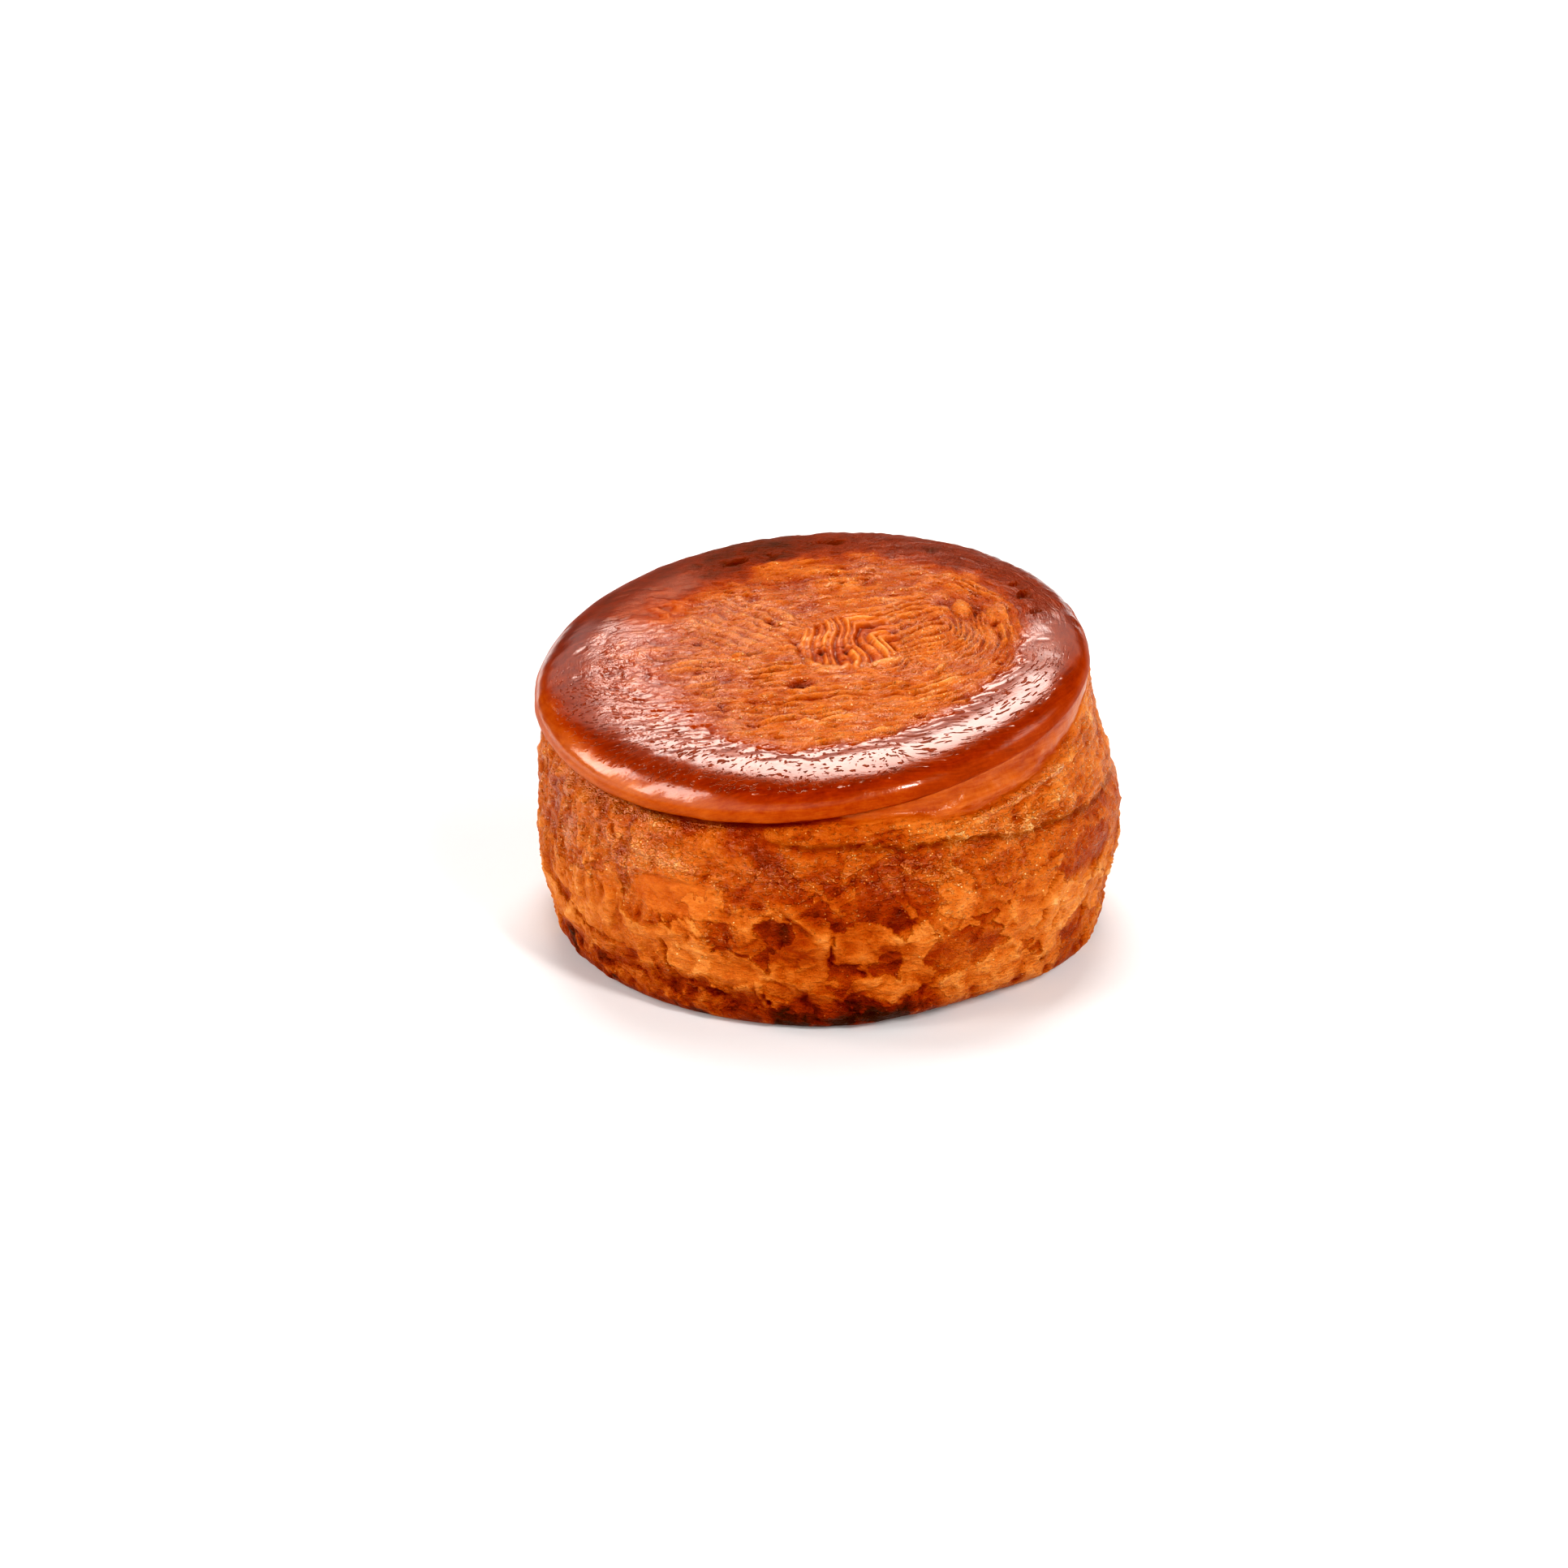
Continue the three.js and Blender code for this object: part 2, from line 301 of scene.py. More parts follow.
def top_surface(x, y):
    """Relief over the cap's plane and the looks at places on the top."""
    p = flat(x, y)
    warp_x, warp_y = bent(x, y, 0.8, 0.18)
    across = across_layers(warp_x, warp_y)
    flow = layer_flow(x, y)
    from_centre = np.hypot(x - CAP_X, y)
    direction = np.degrees(np.arctan2(y, x - CAP_X))
    left = near(direction, 180, 100)

    # The folds at the left of the roll's core: layers that come from the right and turn sharply to
    # the front, each inside the last, and fan out there.
    folded = 1 - ease(0.86, 1.06, reach_from(x, y, FOLDS) + 0.10 * noise(p, 3, 10))
    lean = 0.02 + 0.03 * np.clip(x, 0, 8)
    sway = -0.36 * np.sin(2 * np.pi * (y + 1.5) / FOLD_SWAY_LENGTH) + 0.12 * noise(p, 4, 45)
    sideways = (FOLD_CORNER[0] - warp_x - lean * (y - 3) + sway) / FOLD_PITCH
    backwards = (warp_y - FOLD_CORNER[1]) / LOOP_PITCH
    corner = np.logaddexp(3 * sideways, 3 * backwards) / 3
    folds = (0.80 + 0.3 * noise(p, 5, 44)) * ribbons(corner + 0.08 * np.sin(2.1 * corner)) - 0.65
    folds += 0.3 * noise(p, [4, 6, 1], 9) + 0.2 * np.sin(2.1 * corner + 1)

    # The loops round the core, pressed flat and uneven.
    uneven = across + 1.3 * noise(p, [7, 5, 1], 11) + 0.4 * noise(p, 2.2, 32)
    loops = 0.85 * ribbons(uneven / LOOP_PITCH) - 0.60
    loops = loops * ease(-0.9, 0.1, noise(flow, [3, 8, 8], 5)) + 0.22 * noise(p, 3.2, 33)
    near_core = 1 - ease(8, 13, across + 2 * noise(p, 5, 8))

    # Everywhere else the layers' edges are low terraces, broken up, with narrow grooves in them.
    climb = flow[..., 0] / TERRACE_PITCH + 0.55 * noise(p, 5, 6) + 0.22 * noise(p, 2, 7)
    part = climb - np.floor(climb)
    terraces = (part * (1 - ease(0.80, 1.0, part)) - 0.35) * ease(-0.3, 0.3, noise(flow, [3, 8, 8], 34))
    wide = dashes(flow, 1.7, 7, 6)
    thin = np.maximum(dashes(flow, 1.0, 3.2, 35), dashes(flow, 0.8, 4.5, 36))
    outer = 0.02 + 0.95 * terraces - 0.30 * wide - 0.30 * thin + 0.16 * noise(flow, [0.8, 5, 5], 24)
    outer += 0.24 * noise(flow, [4, 10, 10], 25) + 0.14 * noise(p, 2.4, 26)

    # Crumpled layers at the left of the folds, running slantwise.
    slant = (0.9 * warp_x + warp_y) / 1.35
    crumple = 0.80 * ribbons(slant / CRUMPLE_PITCH + 0.5 * noise(p, 4.5, 12)) - 0.5
    crumple += 0.35 * noise(p, 2.2, 13)
    reach = reach_from(x, y, CRUMPLED_LAYERS) + 0.25 * noise(p, 4, 14)
    crumpled = 0.9 * (1 - ease(0.7, 1.2, reach))
    outer *= 1 + 0.15 * left * ease(6, 12, from_centre)
    relief = lerp(lerp(lerp(outer, loops, near_core), crumple, crumpled), folds, folded)

    # A curl beyond the right end of the core, with hollows at both its sides.
    curl = reach_from(x + 0.2 * (y - CURL[1]), y, CURL)
    hollows = sum(bell(reach_from(x, y, place), 1) for place in CURL_HOLLOWS)
    relief = lerp(relief, 0.45 - 0.4 * curl ** 2, bell(curl, 1.0)) - 0.35 * bell(curl - 1.3, 0.25)
    relief -= 0.8 * hollows

    # A ledge in front of the folds, the deep pit before it, and scattered small pits.
    ledge = bell(y - LEDGE_Y - LEDGE_LEAN * x + 0.5 * noise(p, 3, 27), 0.7)
    ledge *= ease(-4, 0, x) * (1 - ease(9, 13, x))
    deep_pit = bell(reach_from(x, y, DEEP_PIT) + 0.15 * noise(p, 1.5, 28), 1)
    spot, value = cells(p, [3.4, 2.6, 3], 15)
    small_pit = ease(0.76, 0.86, value) * (1 - ease(0.05, 0.34, spot))
    relief += 0.55 * ledge - 1.5 * deep_pit - 0.8 * small_pit
    relief += 0.13 * layered_noise(p, 1.6, 2, 16)

    # The smooth caramel rim, with a ragged inner border. It is rough again at the back.
    border = from_centre + 2.0 * noise(p, 7, 18) + 1.3 * noise(p, 2.6, 19) + 0.6 * noise(p, 1.1, 29)
    border += 4.0 * left - 2.0 * near(direction, 270, 60) - 3.0 * near(direction, 5, 60)
    rim = ease(RIM_INNER - 5 * left, RIM_FULL + left, border)
    back = within(direction, *RIM_BACK)
    rough_rim = rim * back
    rim_relief = 0.06 * noise(p, 7, 20) + 0.12 * noise(p, 3.4, 17) * left
    rim_relief += rough_rim * 0.22 * layered_noise(p, 2.6, 3, 21)
    facing = within(direction, *RIM_FRONT)
    layer_edges = 0.20 * terraces - 0.16 * (wide + thin)
    rim_relief += layer_edges * facing * (1 - ease(27, 33, from_centre))
    streaked = near(direction, 245, 70) * ease(12, 17, from_centre) * (1 - ease(32, 37, from_centre))
    streaks = 0.12 * noise(flow, [0.8, 6, 6], 41) - 0.16 * dashes(flow, 0.9, 4, 42, 0.2)
    dents = ease(0.30, 0.55, noise(flow, [1.8, 3.6, 3.6], 43)) * left * (1 - back)
    golden_patch = bell(reach_from(x, y, GOLDEN_ON_RIM), 1)
    golden_patch += 0.5 * bell(reach_from(x, y, GOLDEN_AT_LEFT), 1)
    rim_relief += 0.5 * np.minimum(golden_patch, 1) * layered_noise(p, [3.0, 2.0, 1], 3, 97)
    rim_relief += streaked * streaks - 0.28 * dents * (1 - ease(35, 38, from_centre))
    relief = lerp(relief + streaked * streaks, rim_relief, rim)
    notch = ease(0.25, 0.5, noise(p, [3.4, 2.2, 1], 30)) * bell(border - RIM_FULL - 1, 1.6) * back
    relief -= 0.9 * notch

    # Tone: how golden the crust is, from 0, dark caramel, to 1, pale dough.
    raised = np.clip(relief, -1.1, 0.6)
    # Partly the caramel left in the grooves and partly painted shade and highlight: the raised layers are
    # paler and the grooves darker.
    golden = 0.58 + (0.38 + 0.04 * folded + 0.04 * near_core) * raised
    golden += 0.07 * noise(p, 6, 22) + 0.06 * noise(flow, [1.3, 7, 7], 23)
    golden -= 0.01 * (folded + near_core)
    golden -= 0.05 * within(direction, 60, 120, 30) * ease(10, 20, from_centre)
    golden += 0.06 * near(direction, 280, 70) * ease(12, 20, from_centre)
    # Painted shade darkens the small pits.
    golden -= 0.10 * small_pit + 0.04 * ease(6, 18, -x)
    brown = 0.27 - 0.04 * ease(29, 38, from_centre) + 0.04 * noise(p, 5, 24)
    brown += rough_rim * (0.05 * noise(p, 2.4, 25) - 0.02)
    brown -= 0.11 * within(direction, 100, 150, 20)
    # Painted shade darkens the dents.
    mottled = 0.09 - 0.10 * dents + 0.12 * noise(flow, [2.2, 4, 4], 46)
    brown += left * mottled * (1 - ease(29, 37, from_centre))
    # The golden patches are paler where the rim's relief is raised and the notches are darker: painted
    # shade and highlight.
    tone = lerp(golden, brown + (0.24 + 0.25 * rim_relief) * golden_patch, rim) - 0.1 * notch
    wet = ease(-0.3, 0.5, noise(p, 6, 31))
    gloss = lerp(0.64 + 0.10 * wet * (1 - folded) + 0.15 * ledge, 1.0, rim)
    gloss += 0.16 * np.maximum(crumpled, ease(8, 20, -x)) * (1 - rim) - 0.35 * rough_rim
    gloss -= 0.50 * within(direction, *MATTE_RIM) * ease(20, 26, from_centre)
    crinkle = 0.75 * (1 - rim) * (1 - 0.5 * folded) + 0.75 * rough_rim + 0.3 * rim * left
    pitted = rim * (1 - back) * ease(26, 29, from_centre) * lerp(0.35, 1, facing)
    bead_and_glint_level = 0.3 - 1.3 * np.maximum(folded, rim)
    return relief, dict(tone=tone, gloss=gloss, flow=flow, crinkle=crinkle, bead_and_glint_level=bead_and_glint_level,
                        pitted=pitted, sheet=np.full_like(x, -1.0))


def cap_top(angle, radius):
    """The top inside the rim. Rings are centred on the folds in the middle, on the cap further out."""
    share = radius / TOP_RADIUS
    turn = np.radians(angle)
    x = lerp(FOLDS[0], CAP_X, share) + radius * np.cos(turn)
    y = radius * np.sin(turn)
    relief, looks = top_surface(x, y)
    return np.stack([x, y, cap_plane(x, y) + relief], -1), looks


def rim_bend(angle, share):
    turn = lerp(RIM_TURN, LIP_TURN, near(angle, LIP_ANGLE, LIP_SPREAD))
    return np.radians(lerp(90, -turn, share))


def rim_width(angle):
    return RIM_WIDTH + RIM_SWELL * near(angle, RIM_SWELL_ANGLE, RIM_SWELL_SPREAD)


def rim_place(angle, share):
    """The smooth form of the rim, from its inner edge at share 0 to the lip's lower edge at 1."""
    bend = rim_bend(angle, share)
    turn = np.radians(angle)
    radius = TOP_RADIUS + rim_width(angle) * np.cos(bend)
    x = CAP_X + radius * np.cos(turn)
    y = radius * np.sin(turn)
    return np.stack([x, y, cap_plane(x, y) - RIM_DROP * (1 - np.sin(bend))], -1)


def cap_rim(angle, share):
    bend = rim_bend(angle, share)
    turn = np.radians(angle)
    point = rim_place(angle, share)
    outwards = np.cos(bend) / rim_width(angle)
    upwards = np.sin(bend) / RIM_DROP
    length = np.hypot(outwards, upwards)
    normal = np.stack([outwards * np.cos(turn), outwards * np.sin(turn), upwards], -1) / length[..., None]

    relief, looks = top_surface(point[..., 0], point[..., 1])
    unrolled = TOP_RADIUS + RIM_ARC * share
    looks["flow"] = layer_flow(CAP_X + unrolled * np.cos(turn), unrolled * np.sin(turn))
    inner = 1 - ease(0.05, 0.35, share)
    back = within(angle, 20, 110, 25)
    lip = near(angle, LIP_ANGLE, LIP_SPREAD)
    sooner = near(angle, 203, 45)
    low = ease(0.40 - 0.10 * sooner, 0.85 - 0.25 * sooner, share)
    waves = 0.10 * noise(point, [9, 9, 5], 30) + 0.05 * noise(point, 3, 31)
    waves += 0.22 * low * lip * noise(point, [7, 7, 9], 34)
    rough = 0.18 * back * layered_noise(point, 2.4, 3, 21) * (1 - ease(0.75, 1, share))
    moved = lerp(waves + rough, relief, inner)
    # The lip is painted paler towards its lower edge, a painted glow standing in for light shining through
    # the thin caramel.
    amber = 0.25 + 0.03 * noise(point, 5, 32) + low * (0.10 + 0.17 * lip + 0.04 * noise(point, 4, 33))
    amber -= 0.03 * back + 0.08 * within(angle, 100, 160, 20)
    looks["tone"] = lerp(amber, looks["tone"], inner)
    matte = 0.45 * back * (1 - low) + 0.50 * within(angle, *MATTE_RIM)
    looks["gloss"] = lerp(1.0 - matte - 0.45 * ease(0.64, 0.85, share), looks["gloss"], inner)
    looks["crinkle"] = lerp(0.5 * back * (1 - low), looks["crinkle"], inner)
    facing = within(angle, 205, 330, 30)
    looks["pitted"] = (1 - back) * (1 - ease(0.45, 0.62, share)) * lerp(0.35, 1, facing)
    looks["bead_and_glint_level"] = np.full_like(share, -1.0)
    return point + normal * moved[..., None], looks


# --- The wall ---

# Places on the wall: direction and height of the middle, then half the width in degrees and half
# the height.
GOLDEN_SHEETS = [
    (242, 11.5, 5, 4.6),
    (250.5, 9.5, 6.5, 3.2),
    (264, 11, 5.6, 4),
    (276, 14.5, 8, 3.4),
    (287, 11.5, 4, 5.5),
    (302, 5.6, 14, 3.4),
    (313.5, 15.5, 7.5, 5.6),
    (299, 19, 9, 2.2),
    (330, 12, 9, 3),
    (218, 14, 9, 4.5),
    (200, 8, 9, 3.6),
    (294.5, 22, 3.6, 2.4),
    (256, 18.2, 5, 1.7),
    (266, 17.6, 4.2, 1.8),
]
BARE_PATCHES = [
    (297.5, 11.8, 8.8, 3.5),
    (281.5, 11.6, 2.6, 1.7),
    (259.5, 16.6, 4, 1.9),
    (330, 7.6, 5, 2.8),
    (331, 19.5, 11, 3.6),
    (232, 15.8, 5, 1.7),
    (306.5, 23.5, 6, 2),
    (226.5, 23, 2, 5),
]
# Cracks: direction and height of the middle, half the height, and how far the top leans in degrees.
CRACKS = [
    (237.2, 10, 3.4, -1),
    (270.2, 14, 3, 0.3),
    (317, 16.8, 2.2, 2.6),
    (315.9, 12.4, 2.4, 0.8),
    (320.8, 11, 2.4, 1.2),
    (333.5, 9, 2.4, 0.6),
]
# Ridges of dough: direction and height of both ends, half the width, and how far they stand out.
RIDGES = [
    (213, 31.4, 237, 28.4, 0.55, 0.55),
    (216, 28.8, 226, 22, 0.70, 0.35),
    (228, 25, 243, 23.8, 0.60, 0.35),
    (300, 30.4, 326, 33.2, 0.60, 0.35),
]
# Places where beads of caramel gather, and painted glints with them.
BEAD_AND_GLINT_PLACES = [
    (234, 25.5, 9, 3.4),
    (225, 30, 10, 1.6),
    (262, 24, 10, 3),
    (286, 24.5, 16, 3.2),
    (310, 27.5, 18, 2.6),
    (250, 14, 9, 3),
]
# Millimetres along the wall for a degree round it, the radius at which its noise is read, and the
# radii that stand in for it in the material's streaks, which are longer the smaller that is.
ARC_PER_DEGREE = 0.725
WALL_RADIUS = 41
STREAK_RADIUS = 80
LONG_STREAK_RADIUS = 20
# Stretches of the wall, given as the rim's are.
WRINKLES_LEFT = (172, 224, 20)
WRINKLES_BACK = (60, 118, 25)
WET_UNDER_LIP = (206, 244, 10)
DRY_RIGHT = (318, 400, 12)
LAYER_BAND = (268, 372, 18)
CREASE = (262, 345, 16)
CARAMEL_FOLDS = (268, 350, 14)
WAVE = (252, 268, 2.5)
SCORCHED_FRONT = (205, 289, 16)
CHARRED_LEFT = (205, 222, 4)
# The crease under the band of layer edges, and how far down the folds of caramel reach from the rim.
CREASE_ANGLES = [250, 275, 298, 321, 345]
CREASE_HEIGHTS = [29.4, 28.6, 27.6, 25.8, 24.2]
CARAMEL_ANGLES = [262, 285, 300, 325, 350]
CARAMEL_DEPTHS = [0.3, 2.2, 5.0, 3.8, 1.2]
# The smooth plate, and the heights of its edge and of the ridge along it.
PLATE = (238.5, 19.6, 10.0, 3.0)
PLATE_EDGE = 22.3
PLATE_RIDGE = 22.2
# The wave of dough: its middle height, how far it swings, one crest's direction, and its length.
WAVE_HEIGHT = 18.4
WAVE_SWING = 2.2
WAVE_CREST = 260.5
WAVE_LENGTH = 17


def on_ring(angle, radius, z):
    turn = np.radians(angle)
    return np.stack([radius * np.cos(turn), radius * np.sin(turn), z], -1)


def wall_radius(angle, z):
    def read(values):
        i = np.clip(np.searchsorted(WALL_HEIGHTS, z, side="right") - 1, 0, len(values) - 2)
        share = (z - WALL_HEIGHTS[i]) / (WALL_HEIGHTS[i + 1] - WALL_HEIGHTS[i])
        return lerp(values[i], values[i + 1], ease(0, 1, share))
    return lerp(read(WALL_LEFT), read(WALL_RIGHT), 0.5 + 0.5 * np.cos(np.radians(angle)))


def from_line(angle, z, line):
    """Distance along the wall from the line between two places on it."""
    scale = np.array([ARC_PER_DEGREE, 1])
    place = np.stack([angle, z], -1) * scale
    nearest = nearest_on(place, np.array(line[:2]) * scale, np.array(line[2:4]) * scale)
    return np.linalg.norm(place - nearest, axis=-1)


def closest(angle, z, places):
    """reach_from for whichever of the places is closest."""
    return np.minimum.reduce([reach_from(angle, z, place) for place in places])


def wall_surface(angle, z, top):
    """Relief outwards from the wall and its looks. `top` is the height of the rim's lower edge."""
    p = on_ring(angle, WALL_RADIUS, z)
    under = top - z
    warped = p + 1.2 * noise_vector(p, 3.4, 40) + 0.2 * noise_vector(p, 1.4, 43)
    low = 1 - ease(13, 23, z + 2.5 * noise(p, 9, 49))
    middle = ease(15, 19, z) * (1 - ease(3, 6, 8 - under))

    # Sheets of flaky dough, matte and golden, torn away in places down to a glossy brown layer.
    torn = 0.20 * noise(p, 2.6, 36) + 0.13 * noise(p, 1.2, 37) + 0.07 * noise(p, 0.7, 38)
    sheet = layered_noise(warped, [7, 7, 5], 3, 50) + 0.62 * low - 0.50 + 0.7 * torn
    sheet = np.maximum(sheet, 0.8 * (1 - closest(angle, z, GOLDEN_SHEETS) - torn))
    bare_reach = closest(angle, z, BARE_PATCHES) + torn
    sheet = np.minimum(sheet, 0.8 * (bare_reach - 1))
    bare = 1 - ease(0.75, 1.0, bare_reach)
    flaked = lerp(0.35, 1, low)
    on_sheet = ease(-0.04, 0.05, sheet)
    stark = lerp(0.35, 1, ease(-0.35, 0.35, noise(p, 6, 87)))
    small = layered_noise(warped + 40, [4.2, 4.2, 3.2], 3, 54) + 0.15 * low - 0.36
    on_small = ease(-0.05, 0.06, small)
    lumps = 0.36 * noise(p, 4.6, 55) + 0.30 * noise(warped, [2.6, 2.6, 2.0], 56)
    relief = 0.45 * noise(p, 19, 46) + 0.32 * noise(p, 9, 47)
    relief += flaked * stark * (0.34 * on_sheet + 0.20 * bell(sheet - 0.05, 0.07))
    tone = 0.63 + 0.06 * noise(p, 9, 48) + 0.08 * noise(p, 4, 62) + 0.10 * noise(warped, 2.2, 63)
    tone += lerp(0.02, 0.20, low) * stark * on_sheet + 0.06 * on_small * flaked - 0.10 * low
    tone += 0.05 * within(angle, 290, 345, 20) * bell(z - 8, 8) - 0.13 * within(angle, 255, 282, 14)
    tone += 0.05 * within(angle, 228, 250, 8) * middle
    gloss = 0.49 + 0.05 * middle - 0.07 * low - 0.10 * low * on_sheet

    # Small flakes that stand out at their upper edges, like shingles upside down.
    climb = z / 2.4 + 0.9 * noise(warped, [5, 5, 4], 83) + 0.35 * noise(warped, [1.8, 1.8, 1.6], 84)
    part = climb - np.floor(climb)
    present = ease(-0.2, 0.3, noise(warped, [3.4, 3.4, 2.4], 85)) * lerp(1, 0.45, low)
    shingles = (part * (1 - ease(0.86, 1.0, part)) - 0.3) * present

    # Creased caramel and blisters in the middle of the wall.
    creases = bell(noise(warped, [7, 7, 4], 61), 0.07) + 0.6 * bell(noise(warped, [4, 4, 2.6], 88), 0.08)
    blistered = ease(-0.1, 0.5, noise(p, 6, 89)) * lerp(1, 0.5, low)
    blisters = blistered * domes(warped, [2.4, 2.4, 2.0], 58, 0.42, 0.35)
    blisters += 0.5 * middle * domes(warped, [1.3, 1.3, 1.1], 90, 0.45, 0.6)
    rough = lumps + 0.18 * shingles + flaked * (0.22 * on_small + 0.12 * bell(small - 0.05, 0.06))
    rough += 0.24 * (blisters - creases * lerp(1, 0.5, low))
    rough += 0.14 * noise(warped, [2.6, 2.6, 0.9], 60) + 0.15 * noise(warped, [1.2, 1.2, 0.8], 61)

    # Smooth patches of dark caramel between them.
    patch = layered_noise(warped + 80, [5.5, 5.5, 4.2], 4, 94)
    amber = ease(0.05, 0.30, patch) * (1 - 0.6 * on_sheet)
    rough -= 0.10 * amber
    rough *= 1 - 0.4 * bare
    tone -= 0.05 * amber + 0.10 * bare
    gloss += (0.08 * amber + 0.03 * bare) * (1 - within(angle, *DRY_RIGHT))

    # Upright wrinkles at the left, and again at the back.
    wrinkled = np.maximum(within(angle, *WRINKLES_LEFT), 0.8 * within(angle, *WRINKLES_BACK))
    wrinkled *= ease(10, 16, z)
    rough *= 1 - 0.7 * wrinkled
    relief += rough
    # The tone follows the relief: painted shade in the hollows and creases, and painted highlight on the
    # bumps and blisters.
    tone += 0.24 * np.clip(rough, -0.7, 0.8) - 0.05 * middle
    wrinkles = noise(warped, [1.5, 1.5, 8], 66) + 0.5 * noise(warped, [0.8, 0.8, 4], 67)
    relief += 0.75 * wrinkled * wrinkles
    tone += 0.14 * wrinkled * wrinkles
    gloss += 0.10 * wrinkled + 0.04 * within(angle, 205, 250, 15) * ease(14, 20, z)

    # A band of layer edges under the rim at the right, ending in a crease.
    crease_height = np.interp(angle, CREASE_ANGLES, CREASE_HEIGHTS)
    crease_height += 0.5 * noise(p, 9, 68) + 0.25 * noise(p, 3, 65)
    banded = within(angle, *LAYER_BAND) * ease(-0.4, 0.8, z - crease_height)
    in_layers = np.stack([p[..., 0], p[..., 1], under * 5 + 2.5 * noise(p, 6, 69)], -1)
    lines = noise(in_layers, [9, 9, 4], 70)
    fine_lines = noise(in_layers, [5, 5, 2], 71)
    relief += banded * (0.45 * lines + 0.28 * fine_lines)
    tone += banded * (0.08 + 0.16 * lines + 0.10 * fine_lines)
    creased = within(angle, *CREASE) * (0.55 + 0.5 * noise(p, 4, 72))
    at_crease = creased * bell(z - crease_height, 0.45)
    relief -= 0.5 * at_crease
    # Painted shade darkens the crease.
    tone -= 0.10 * at_crease

    # Smooth folds of caramel between that band and the rim.
    past = under - np.interp(angle, CARAMEL_ANGLES, CARAMEL_DEPTHS) + 0.6 * noise(p, 4, 73)
    caramel = within(angle, *CARAMEL_FOLDS) * (1 - ease(-0.5, 0.8, past))
    caramel = np.maximum(caramel, 1 - ease(0.4, 1.4, under))
    bars = np.cos(2 * np.pi * (under / 3.4 + 0.016 * (angle - 300) + 0.25 * noise(p, 8, 74)))
    smooth = 0.20 * bars + 0.25 * noise(p, 8, 47) + 0.22 * noise(warped, [2.6, 2.6, 1.3], 75)
    relief = lerp(relief, smooth, caramel)
    tone = lerp(tone, 0.48 + 0.05 * bars + 0.09 * noise(warped, [5, 5, 2.5], 76), caramel)
    gloss = lerp(gloss, 0.68, caramel)
    sheet = lerp(sheet, -0.6, caramel)

    # A smooth orange plate with a straight upper edge, at the left of the front.
    plate = (1 - ease(0.8, 1.0, reach_from(angle, z, PLATE) + 0.5 * torn)) * (z < PLATE_EDGE)
    relief = lerp(relief, 0.25 + 0.2 * noise(p, 4, 77), 0.7 * plate)
    relief += 0.3 * bell(z - PLATE_RIDGE, 0.35) * within(angle, 231, 246, 3)
    tone = lerp(tone, 0.58 + 0.06 * noise(p, 3, 78), 0.6 * plate)
    gloss = lerp(gloss, 0.5, plate)

    # The flap in the middle of the front: a wave of dough over a brown hollow.
    wave_height = WAVE_HEIGHT + WAVE_SWING * np.cos(2 * np.pi * (angle - WAVE_CREST) / WAVE_LENGTH)
    wave = within(angle, *WAVE) * bell(z - wave_height + 0.25 * noise(p, 2, 79), 0.75)
    relief += 0.75 * wave
    tone += 0.20 * wave
    gloss = lerp(gloss, 0.5, wave)

    # Ridges.
    ridged = np.zeros_like(z)
    for line in RIDGES:
        away = from_line(angle, z, line) + 0.35 * noise(p, 2.4, 92)
        ridge = bell(away, line[4])
        relief += 1.5 * line[5] * ridge
        ridged = np.maximum(ridged, ridge)
    tone += 0.06 * ridged
    gloss = lerp(gloss, 0.95, 0.8 * ridged)

    # Cracks, painted darker inside as painted shade.
    for middle_angle, middle_z, half, lean in CRACKS:
        share = (z - middle_z) / half
        away = (angle - middle_angle - lean * share) * ARC_PER_DEGREE + 0.45 * noise(p, 1.8, 80)
        crack = bell(away, 0.28) * (1 - ease(0.4, 1.05, np.abs(share)))
        relief -= 0.9 * crack
        tone -= 0.20 * crack

    # The scorched foot.
    foot_front = within(angle, *SCORCHED_FRONT)
    browned = 1 - ease(1.0, 8.0, z + 3.0 * noise(p, 6, 35) + 1.2 * noise(p, 2.0, 39) - 1.5 * foot_front)
    browned *= lerp(0.25, 1, foot_front)
    tone -= 0.34 * browned
    sheet -= 0.6 * browned
    speckled = ease(0.25, 0.6, noise(warped, 1.4, 78)) * browned
    relief += browned * 0.35 * layered_noise(warped, 2.0, 2, 81)
    charred = within(angle, *CHARRED_LEFT) * bell(z - 4.4, 2.0) * ease(-0.15, 0.25, noise(warped, 2.4, 77))
    spots = 0.75 * ease(0.30, 0.55, noise(warped, [3, 3, 2], 82)) * (1 - ease(1.5, 4.5, z))
    charred = np.maximum(charred, spots)
    tone += 0.24 * speckled - 0.40 * charred
    gloss -= 0.3 * charred
    relief -= 0.3 * charred
    relief *= lerp(0.35, 1, ease(0, 4, z))

